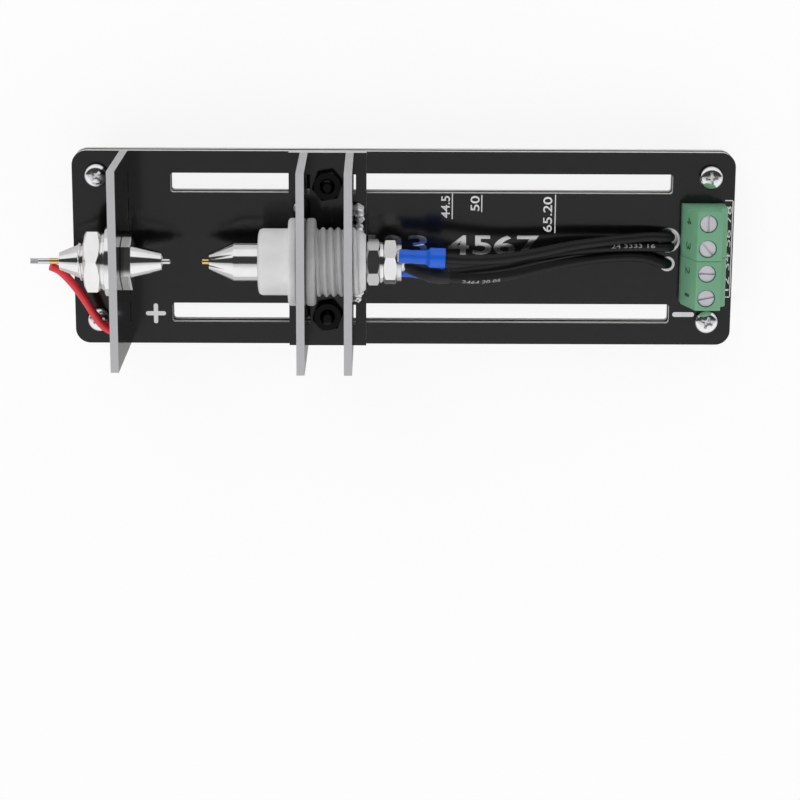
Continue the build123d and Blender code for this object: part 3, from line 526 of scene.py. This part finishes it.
def stroke(start, end, width, thickness=0.03):
    """A flat printed line with round ends, on the board."""
    bm = bmesh.new()
    start, end = at(*start, 0), at(*end, 0)
    run = end - start
    made = bmesh.ops.create_circle(
        bm, cap_ends=True, segments=24, radius=width / 2 * MM, matrix=Matrix.Translation(start)
    )
    ahead = [v for v in made["verts"] if (v.co - start).dot(run) > 1e-9]
    bmesh.ops.translate(bm, verts=ahead, vec=run)
    grown = bmesh.ops.extrude_face_region(bm, geom=list(bm.faces))
    moved(bm, grown["geom"], (0, 0, thickness))
    return bm


def route_curve(name, points, radius):
    """A smooth route through the control points, as a tube of that radius or as a bare line."""
    curve = bpy.data.curves.new(name, "CURVE")
    curve.dimensions = "3D"
    curve.resolution_u = 10
    curve.bevel_depth = radius * MM
    curve.bevel_resolution = 5
    curve.use_fill_caps = True
    spline = curve.splines.new("NURBS")
    spline.points.add(len(points) - 1)
    for knot, point in zip(spline.points, points):
        knot.co = (*at(*point), 1)
    spline.order_u = 3
    spline.use_endpoint_u = True
    obj = bpy.data.objects.new(name, curve)
    bpy.context.scene.collection.objects.link(obj)
    return obj


def swept(name, points, radius):
    """The mesh of a tube along the route, and the points that its middle line follows."""
    tube = route_curve(name + "_tube", points, radius)
    line = route_curve(name + "_line", points, 0.0)
    bpy.context.view_layer.update()
    graph = bpy.context.evaluated_depsgraph_get()
    mesh = bpy.data.meshes.new_from_object(tube.evaluated_get(graph))
    line_mesh = bpy.data.meshes.new_from_object(line.evaluated_get(graph))
    path = [vertex.co.copy() for vertex in line_mesh.vertices]
    for obj in (tube, line):
        bpy.data.objects.remove(obj)
    return mesh, path


# Leads: the solids' points, moved to follow the photographed leads more closely
eyelet_x = 121.6
board_bottom = -1.6
lead_routes = {
    "upper": [
        (71.8, 1.77, 17.99), (76.4, 1.5, 18.1), (81.0, 1.0, 16.9), (87.6, 0.8, 14.2),
        (95.8, 1.7, 11.0), (101.2, 2.45, 8.7), (107.2, 2.85, 6.6), (113.4, 3.2, 4.6),
        (118.0, 3.4, 3.5), (122.0, 3.05, 3.3), (eyelet_x, 3.01, 1.0),
        (eyelet_x, 3.01, board_bottom),
    ],
    "lower": [
        (71.8, -2.37, 12.26), (76.6, -2.65, 12.8), (80.8, -2.4, 11.2), (84.9, -2.25, 9.7),
        (88.9, -1.8, 8.5), (93.5, -0.5, 7.2), (101.2, 0.75, 5.6), (107.4, 1.15, 4.2),
        (113.5, 1.2, 3.1), (118.0, 1.15, 2.9), (122.0, 1.0, 2.9),
        (eyelet_x, 0.99, 1.0), (eyelet_x, 0.99, board_bottom),
    ],
    "sense": [
        (69.4, 0.0, 14.2), (71.2, -1.45, 15.2), (74.6, -2.35, 16.7), (78.4, -2.65, 16.5),
        (81.6, -3.15, 15.3), (86.8, -3.2, 12.7), (91.0, -2.9, 10.6), (95.5, -2.2, 8.5),
        (101.2, -1.5, 6.1), (107.4, -1.0, 4.1), (113.7, -0.9, 2.7), (117.4, -1.3, 2.2),
        (eyelet_x, -2.95, 2.45), (eyelet_x, -2.95, board_bottom),
    ],
}
red_route = [
    (-3.1, -1.3, 13.25), (-1.7, -1.9, 12.7), (-0.3, -3.6, 11.4), (1.3, -6.2, 9.4),
    (2.9, -9.4, 7.2), (4.2, -12.4, 5.4), (5.9, -15.6, 4.0), (8.5, -17.3, 3.1),
    (8.5, -17.3, board_bottom),
]
black_radius = 1.0
red_radius = 0.85
print_height = 0.8


def print_along(path, radius, start, end, side, height, text):
    """Small numerals wrapped on a lead from one x to another, side being their angle from up."""
    # laid out at the world's origin, then cut in rows so that they can bend round the lead
    origin = (-BOARD_LEFT, 0, -BOARD_TOP)
    bm = lettering(text, origin, (1, 0, 0), (0, 1, 0), end - start, height, thickness=0.02)
    rows = 6
    for row in [height * MM * k / rows for k in range(1, rows)]:
        everything = bm.verts[:] + bm.edges[:] + bm.faces[:]
        bmesh.ops.bisect_plane(bm, geom=everything, plane_co=(0, row, 0), plane_no=(0, 1, 0))
    lift = 0.01
    line = sorted(path, key=lambda point: point.x)
    for vert in bm.verts:
        x = at(start, 0, 0).x + vert.co.x
        before, after = next(
            ((a, b) for a, b in zip(line, line[1:]) if a.x <= x <= b.x), (line[-2], line[-1])
        )
        share = (x - before.x) / max(after.x - before.x, 1e-9)  # never a division by nothing
        middle = before.lerp(after, share)
        along = (after - before).normalized()
        upwards = (Vector((0, 0, 1)) - along * along.z).normalized()
        sideways = upwards.cross(along)
        turn = side + (vert.co.y - height * MM / 2) / (radius * MM)
        out = upwards * math.cos(turn) + sideways * math.sin(turn)
        vert.co = middle + out * (radius * MM + lift * MM + vert.co.z)
    return bm


lead_prints = {
    "lower": [(95.9, 105.6, 1.0, "3333 24 16"), (109.5, 118.6, 0.35, "24 3333 16")],
    "sense": [(78.9, 86.4, -0.6, "2464 20 05")],
}
for name, points in lead_routes.items():
    mesh, path = swept(name, points, black_radius)
    lead = piece(f"black_{name}_lead", mesh, black_silicone, None, smooth_degrees=60)
    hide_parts(f"black_lead_{name}")
    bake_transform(lead)
    for number, (start, end, side, text) in enumerate(lead_prints.get(name, [])):
        bm = print_along(path, black_radius, start, end, side, print_height, text)
        mark = piece(
            f"{name}_lead_print_{number}", mesh_of("print", bm), grey_ink, None
        )
        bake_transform(mark)
mesh, path = swept("red", red_route, red_radius)
red_lead = piece("red_sense_lead", mesh, red_silicone, "base", smooth_degrees=60)
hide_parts("red_lead")

# Heat shrink over the probe's tail, following the lead that leaves it
shrink_radius = 1.65
shrink_points = [(67.75, -0.5, 14.1), (71.2, -1.75, 15.3), (74.6, -2.4, 16.7), (76.5, -2.5, 16.6)]
shrink_shares = (0.85, 0.97, 1.0, 0.76)
shrink_curve = route_curve("shrink", shrink_points, shrink_radius)
for knot, share in zip(shrink_curve.data.splines[0].points, shrink_shares):
    knot.radius = share
bpy.context.view_layer.update()
mesh = bpy.data.meshes.new_from_object(
    shrink_curve.evaluated_get(bpy.context.evaluated_depsgraph_get())
)
bpy.data.objects.remove(shrink_curve)
shrink = piece("probe_heat_shrink", mesh, heat_shrink, "plunger", smooth_degrees=60)
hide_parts("heat_shrink")


# Electrodes, nuts and washers

# The bore that both contacts have for their probes
core = 1.15
fixed_shank = lathe(
    [(-1.1, core), (-1.1, 1.75), (2.9, 3.4), (2.9, 3.45), (11.6, 3.45), (11.6, core)]
)
fixed_thread = thread(start=3.0, end=11.4, root=3.45, crest=4.0, pitch=0.8, fade=0.5)
fixed_cone = lathe([(13.3, core), (13.3, 3.3), (13.4, 3.3), (19.3, 1.75), (19.3, core)])
fixed_collar = hexagon(x=11.4, thickness=2.0, across_flats=10.0, turn=-10.4)
ease(fixed_collar, width=0.12)
fixed_mesh = joined("fixed_contact", [fixed_shank, fixed_thread, fixed_cone, fixed_collar])
fixed_contact = piece("fixed_contact", fixed_mesh, nickel, "base",
                      smooth_degrees=15)
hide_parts("fixed_electrode")

moving_body = lathe(
    [(28.6, core), (28.6, 1.55), (33.6, 3.85), (45.5, 3.85), (45.5, 2.2), (66.15, 2.2),
     (66.15, 1.85), (67.5, 1.85), (67.7, 1.65), (67.7, core)]
)
stem_thread = thread(start=60.0, end=66.15, root=2.2, crest=2.5, pitch=0.5, fade=0.3)
stud_thread = thread(start=66.2, end=67.7, root=1.85, crest=2.0, pitch=0.4, fade=0.3)
moving_mesh = joined("moving_contact", [moving_body, stem_thread, stud_thread])
moving_contact = piece("moving_contact", moving_mesh, nickel, "plunger",
                       smooth_degrees=15)
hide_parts("moving_electrode")

for name, node, body, x, thickness, across_flats, bore, turn in (
    ("fixed_hexagon_nut", "fixed_electrode_nut", "base", 4.1, 3.4, 12.0, 4.05, 21.9),
    ("plunger_stop_nut", "stop_nut", "plunger", 60.05, 2.7, 8.0, 2.55, -11.5),
    ("plunger_lock_nut", "lock_nut", "plunger", 63.35, 2.8, 8.0, 2.55, 8.0),
):
    nut = piece(name, hexagon_nut(name, x, thickness, across_flats, bore, turn), nickel, body,
                smooth_degrees=15)
    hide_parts(node)

for name, node, body, x, thickness, outer, bore in (
    ("fixed_wide_washer", "contact_washer", "base", 8.2, 1.6, 7.1, 4.05),
    ("fixed_spring_washer", "fixed_lock_washer", "base", 7.5, 0.7, 5.9, 4.05),
):
    ring = lathe([(x, bore), (x, outer), (x + thickness, outer), (x + thickness, bore)], eased=0.2)
    washer = piece(name, mesh_of(name, ring), nickel, body, smooth_degrees=15)
    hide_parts(node)


# Bushing

thread_root = 6.4
bushing_body = lathe(
    [(38.5, 3.93), (38.5, 5.75), (38.76, 6.39), (39.4, 6.65), (44.5, 6.65), (44.5, 8.35),
     (44.9, 8.75), (46.0, 8.75), (46.4, 8.35), (46.4, thread_root), (58.7, thread_root),
     (59.9, 5.5), (59.9, 2.58), (54.5, 2.58), (54.5, 3.93)],
    eased=0.12,
)
bushing_thread = thread(start=46.9, end=58.9, root=thread_root, crest=6.9, pitch=1.5, fade=1.2)
bushing_mesh = joined("threaded_bushing", [bushing_body, bushing_thread])
bushing = piece("threaded_bushing", bushing_mesh, nylon, "carriage", smooth_degrees=40)
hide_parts("bushing")

bushing_nut_ring = lathe(
    [(48.0, 7.05), (48.0, 8.35), (48.4, 8.75), (49.6, 8.75), (50.0, 8.35), (50.0, 7.05)],
    eased=0.15,
)
bushing_nut = piece("round_bushing_nut", mesh_of("round_bushing_nut", bushing_nut_ring), nylon,
                    "carriage", smooth_degrees=40)
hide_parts("bushing_nut")


# Crimp sleeves


def crimp_sleeve(name, node, start, end):
    """An insulating sleeve with a flared mouth and the two dents that the crimping tool left."""
    start, end = at(*start), at(*end)
    turn = (end - start).to_track_quat("Z", "Y").to_matrix().to_4x4()
    placing = Matrix.Translation(start) @ turn
    bm = lathe(
        [(-0.6, 1.13), (-0.6, 1.4), (1.2, 1.4), (1.5, 1.34), (2.4, 1.34), (2.7, 1.4), (4.7, 1.4),
         (5.1, 1.6), (5.6, 2.0), (8.6, 2.0), (8.6, 1.72), (5.7, 1.72), (4.8, 1.13)],
        placing,
        eased=0.06,
    )
    dents, dent_depth, dent_spread, inside = (1.95, 3.6), 0.12, 0.45, 1.25
    for dent in dents:
        for vert in bm.verts:
            place = placing.inverted() @ vert.co / MM
            radius = math.hypot(place.x, place.y)
            depth = dent_depth * math.exp(-(((place.z - dent) / dent_spread) ** 2))
            if radius > inside and place.y > 0.0:
                vert.co -= (turn @ Vector((0, 1, 0))) * depth * MM * place.y / radius
    sleeve = piece(name, mesh_of(name, bm), blue_vinyl, "plunger", smooth_degrees=40)
    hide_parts(node)


for name, node, start, end in (
    ("upper_crimp_sleeve", "terminal_sleeve_upper", (67.05, 1.95, 17.9), (75.65, 1.6, 18.1)),
    ("lower_crimp_sleeve", "terminal_sleeve_lower", (67.05, -2.1, 11.5), (75.65, -2.6, 12.9)),
):
    crimp_sleeve(name, node, start, end)


# Corner screws


def pan_head_screw(x, y, turn):
    """A domed head with a cross recess, on a shank that ends in the foot."""
    placing = Matrix.Translation(at(x, y, 0)) @ Matrix.Rotation(math.radians(turn), 4, "Z")
    dome = lathe(
        [(-14.0, 0.0), (-14.0, 1.45), (0.0, 1.45), (0.0, 2.4), (0.1, 2.5), (0.65, 2.5),
         (1.05, 2.36), (1.4, 2.1), (1.66, 1.72), (1.82, 1.2), (1.9, 0.6), (1.9, 0.0)],
        placing,
        closed=False,
        eased=0,
    )
    recess_depth, recess_middle = 1.3, 1.45
    wing_length, wing_width = 2.9, 0.62
    recess = Matrix.Translation((0, 0, recess_middle * MM))
    wings = []
    for quarter in (0, 1):
        wing = bmesh.new()
        bmesh.ops.create_cube(wing, size=1.0)
        size = Vector((wing_length, wing_width, recess_depth)) * MM
        bmesh.ops.scale(wing, verts=wing.verts, vec=size)
        low = [v for v in wing.verts if v.co.z < 0]
        bmesh.ops.scale(wing, verts=low, vec=(0.45, 0.7, 1))
        across = recess @ Matrix.Rotation(quarter * math.pi / 2, 4, "Z")
        bmesh.ops.transform(wing, matrix=placing @ across, verts=wing.verts)
        wings.append(wing)
    pit = bmesh.new()
    bmesh.ops.create_cone(pit, cap_ends=True, segments=4, radius1=0.25 * MM, radius2=0.95 * MM,
                          depth=recess_depth * MM)
    bmesh.ops.transform(pit, matrix=placing @ recess, verts=pit.verts)
    return combined("pan_head", dome, wings + [pit])


screw_inset = 5.0
screw_y = BOARD_WIDTH / 2 - screw_inset
screw_places = [
    (x, y) for x in (screw_inset, BOARD_LENGTH - screw_inset) for y in (-screw_y, screw_y)
]
screw_bm = bmesh.new()
for number, (x, y) in enumerate(screw_places):
    screw_bm.from_mesh(pan_head_screw(x, y, 20 + 25 * number))
corner_screws = piece("pan_head_corner_screws", mesh_of("pan_head_corner_screws", screw_bm),
                      bright_zinc, "base", smooth_degrees=30)
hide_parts("corner_screws")


# Solder at the carriage plates' feet


def solder_bead(centre, size, seed):
    """A lump of solder, uneven as it froze."""
    lumps, unevenness = 1.3, 0.45
    bm = bmesh.new()
    bmesh.ops.create_icosphere(bm, subdivisions=4, radius=MM)
    for vert in bm.verts:
        wave = noise.noise(vert.co / MM * lumps + Vector((seed, 2 * seed, 0)))
        vert.co *= 1 + unevenness * wave
    bmesh.ops.scale(bm, verts=bm.verts, vec=size)
    bmesh.ops.translate(bm, verts=bm.verts, vec=at(*centre))
    return bm


# Each bead's centre, its half sizes and the seed of its shape
beads = [
    ((58.3, 8.3, 2.2), (1.15, 1.3, 0.8), 1), ((58.6, 6.7, 2.0), (0.9, 0.9, 0.55), 2),
    ((58.3, 4.4, 2.2), (1.15, 1.3, 0.9), 3), ((58.2, -8.7, 2.2), (1.15, 1.1, 0.9), 4),
    ((58.0, -10.1, 2.0), (0.8, 0.8, 0.5), 5), ((45.9, 8.7, 2.1), (0.75, 0.9, 0.6), 6),
    ((45.9, 6.2, 2.0), (0.6, 0.6, 0.5), 7),
]
bead_mesh = joined("plate_solder_beads", [solder_bead(*bead) for bead in beads])
carriage_beads = piece("plate_solder_beads", bead_mesh, solder, "carriage",
                       smooth_degrees=180)
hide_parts("carriage_solder")


# Screw terminals

BLOCK_X = 124.2
POLE_PITCH = 5.08
FIRST_POLE_Y = -8.12
pole_y = [FIRST_POLE_Y + POLE_PITCH * number for number in range(4)]


def terminal_block(name, node, poles):
    """A two-pole moulding: sloped back, screw wells on top and wire entries at the far side."""
    joint_gap = 0.05
    half_pole = (POLE_PITCH - joint_gap) / 2
    low, high = poles[0] - half_pole, poles[1] + half_pole
    profile = [(0, 0), (0, 3.6), (2.2, 10), (7.3, 10), (7.3, 6.8), (8.3, 6.1), (8.8, 5.6), (8.8, 0)]
    bm = bmesh.new()
    face = bm.faces.new([bm.verts.new(at(BLOCK_X + x, low, z)) for x, z in profile])
    grown = bmesh.ops.extrude_face_region(bm, geom=[face])
    moved(bm, grown["geom"], (0, high - low, 0))
    ease(bm, width=0.14)
    well_x, well_radius, neck_radius = 4.4, 1.82, 1.35
    half_chamber, half_entry = 1.95, 1.7
    tools = []
    for y in poles:
        top = Matrix.Translation(at(BLOCK_X + well_x, y, 0))
        for low_z, high_z, radius in ((8.4, 10.4, well_radius), (7.0, 8.8, neck_radius)):
            outline = [(low_z, 0), (low_z, radius), (high_z, radius), (high_z, 0)]
            tools.append(lathe(outline, top, closed=False, eased=0))
        # the clamp's chamber, its lower part towards the leads, and the wire's entry
        for low_x, high_x, half, low_z, high_z in (
            (2.15, 7.6, half_chamber, 0.3, 8.0),
            (1.0, 3.0, half_chamber, 0.3, 4.9),
            (7.0, 9.2, half_entry, 1.4, 4.6),
        ):
            corner = (BLOCK_X + low_x, y - half, low_z)
            tools.append(block(corner, (BLOCK_X + high_x, y + half, high_z)))
    housing = piece(name, combined(name, bm, tools), green_polyamide, "base",
                    smooth_degrees=30)
    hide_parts(node)


terminal_block("terminal_block_a", "terminal_housing_a", pole_y[:2])
terminal_block("terminal_block_b", "terminal_housing_b", pole_y[2:])

# Numbers 1 to 4 on the sloped back, read from the leads' side
slope_up = Vector((2.2, 0, 10 - 3.6)).normalized()
digits = []
for number, y in enumerate(pole_y, start=1):
    wide = 0.6 if number == 1 else 1.5
    origin = (BLOCK_X + 0.62, y + wide / 2, 5.42)
    digits.append(
        lettering(str(number), origin, (0, -1, 0), slope_up, wide, height=1.9, thickness=0.04)
    )
# the moulded numbers carry painted shade: a darker green than their housing
piece("terminal_numbers", joined("terminal_numbers", digits), green_painted_shade, "base",
      smooth_degrees=30)


# Legend on the base board

read_across = {"across": (0, 1, 0), "up": (-1, 0, 0)}
read_along = {"across": (1, 0, 0), "up": (0, 1, 0)}

# Cell lengths, each with a line at its foot: corner, width, height, and the line's x and ends
printed = []
for text, corner, width, height, line_x, line_start, line_end in (
    ("44.5", (76.91, 6.38, 0), 4.56, 1.79, 77.4, 6.27, 11.35),
    ("50", (82.94, 7.85, 0), 3.11, 1.82, 83.4, 7.74, 11.06),
    ("65.20", (97.79, 3.56, 0), 7.25, 1.83, 98.43, 3.44, 11.23),
):
    printed.append(
        lettering(text, corner, width=width, height=height, weight=0.01, **read_across)
    )
    printed.append(stroke((line_x, line_start), (line_x, line_end), width=0.22))

# The frame beside the terminals, open towards them, and the digits inside it
frame_corners = [(133.2, 10.2), (134.7, 10.2), (134.7, -9.9), (133.2, -9.9)]
for start, end in zip(frame_corners, frame_corners[1:]):
    printed.append(stroke(start, end, width=0.2))
printed.append(
    lettering("12 34 56 78", (134.45, -8.6, 0), width=17.6, height=1.1, **read_across)
)
piece("board_legend", joined("board_legend", printed), white_ink, "base",
      smooth_degrees=30)

# The large numerals and the polarity marks are bare plated copper, which mirrors the leads
numerals = [
    stroke((14.94, -13.74), (18.18, -13.74), width=0.9),
    # the plus's upright is a little thicker, so that its two strokes share no plane
    stroke((16.56, -12.1), (16.56, -15.4), width=0.9, thickness=0.035),
    stroke((123.5, -13.62), (127.0, -13.62), width=1.0),
]
for digit, left, right in (("0", 54.0, 57.9), ("1", 60.3, 61.7), ("2", 63.5, 67.5),
                           ("3", 68.2, 72.4), ("4", 76.6, 80.9), ("5", 81.7, 85.5),
                           ("6", 85.95, 90.3), ("7", 90.7, 95.2)):
    numerals.append(
        lettering(digit, (left, -1.2, 0), width=right - left, height=4.0, weight=0.02, **read_along)
    )
piece("board_numerals", joined("board_numerals", numerals), bare_numerals, "base",
      smooth_degrees=30)


# Floor, lights and camera


def studio_floor():
    """A white table that the camera sees near white, and that still takes a soft shadow."""
    material, tree, shader = finish("white table", Roughness=0.6, Specular_IOR_Level=0.2)
    shader.inputs["Base Color"].default_value = linear("#e4e4e4")
    path_node = add(tree, "ShaderNodeLightPath")
    glow = add(tree, "ShaderNodeEmission", {"Color": grey(1), "Strength": 0.86})
    faint = add(tree, "ShaderNodeBsdfDiffuse", {"Color": grey(0.16)})
    seen = add(tree, "ShaderNodeAddShader", {0: glow.outputs[0], 1: faint.outputs[0]})
    mix = add(
        tree,
        "ShaderNodeMixShader",
        {0: path_node.outputs["Is Camera Ray"], 1: shader.outputs[0], 2: seen.outputs[0]},
    )
    output = tree.nodes["Material Output"]
    tree.links.new(mix.outputs[0], output.inputs["Surface"])
    bm = bmesh.new()
    bmesh.ops.create_grid(bm, x_segments=1, y_segments=1, size=3.0)
    floor = bpy.data.objects.new("table", mesh_of("table", bm))
    bpy.context.scene.collection.objects.link(floor)
    floor.data.materials.append(material)


def studio_world():
    """A bright room with one dark patch overhead, on the camera's side, for metal to mirror."""
    world = bpy.data.worlds.new("studio")
    bpy.context.scene.world = world
    world.use_nodes = True
    tree = world.node_tree
    tree.nodes.clear()
    coordinates = add(tree, "ShaderNodeTexCoord")
    direction = add(tree, "ShaderNodeSeparateXYZ", {"Vector": coordinates.outputs["Generated"]})
    angle = add(
        tree,
        "ShaderNodeMath",
        {0: direction.outputs["Y"], 1: direction.outputs["Z"]},
        operation="ARCTAN2",
    )
    turn = add(
        tree,
        "ShaderNodeMapRange",
        {"Value": angle.outputs[0], "From Min": -math.pi, "From Max": math.pi},
    )
    # angles from straight up, towards +Y
    stops = [(-180, 0.9), (-60, 1.0), (-30, 0.95), (-10, 0.62), (-4, 0.58), (0, 0.04), (42, 0.04),
             (46, 0.95), (80, 0.9)]
    room = ramp(tree, turn.outputs[0], [((a + 180) / 360, grey(level)) for a, level in stops])
    rays = add(tree, "ShaderNodeLightPath")
    level = add(
        tree,
        "ShaderNodeMapRange",
        {"Value": rays.outputs["Is Diffuse Ray"], "To Min": 1.0, "To Max": 1.15},
    )
    back = add(tree, "ShaderNodeBackground", {"Color": room, "Strength": level.outputs[0]})
    output = add(tree, "ShaderNodeOutputWorld")
    tree.links.new(back.outputs[0], output.inputs["Surface"])


def soft_lamp(name, place, target, size, watts):
    """A large soft lamp that lights the holder and isn't mirrored in it."""
    lamp = bpy.data.lights.new(name, "AREA")
    lamp.shape = "DISK"
    lamp.size = size
    lamp.energy = watts
    obj = bpy.data.objects.new(name, lamp)
    obj.location = place
    obj.rotation_euler = (Vector(target) - Vector(place)).to_track_quat("-Z", "Y").to_euler()
    obj.visible_glossy = False
    bpy.context.scene.collection.objects.link(obj)


studio_floor()
studio_world()
soft_lamp("top light", place=(-0.25, 0.45, 0.8), target=(0, 0, 0.02), size=0.5, watts=1.6)

# The camera's place and turn were found from the board's edges, screws and plates in the photo
camera_target = at(66.93, -32.04, 0)
camera_distance = 0.5276
camera_tilt = math.radians(14.5)
camera_roll = math.radians(0.29)
camera_yaw = math.radians(-0.39)
photo_size = 800
focal_pixels = 2536.5
sensor_width = 36.0
turn = (
    Matrix.Rotation(camera_yaw, 4, "Y")
    @ Matrix.Rotation(-camera_tilt, 4, "X")
    @ Matrix.Rotation(camera_roll, 4, "Z")
)
lens = bpy.data.cameras.new("camera")
lens.sensor_width = sensor_width
lens.lens = focal_pixels * sensor_width / photo_size
lens.clip_start = 0.01
camera = bpy.data.objects.new("camera", lens)
camera.matrix_world = (
    Matrix.Translation(camera_target) @ turn @ Matrix.Translation((0, 0, camera_distance))
)
bpy.context.scene.collection.objects.link(camera)
bpy.context.scene.camera = camera
bpy.context.scene.view_settings.view_transform = "Standard"
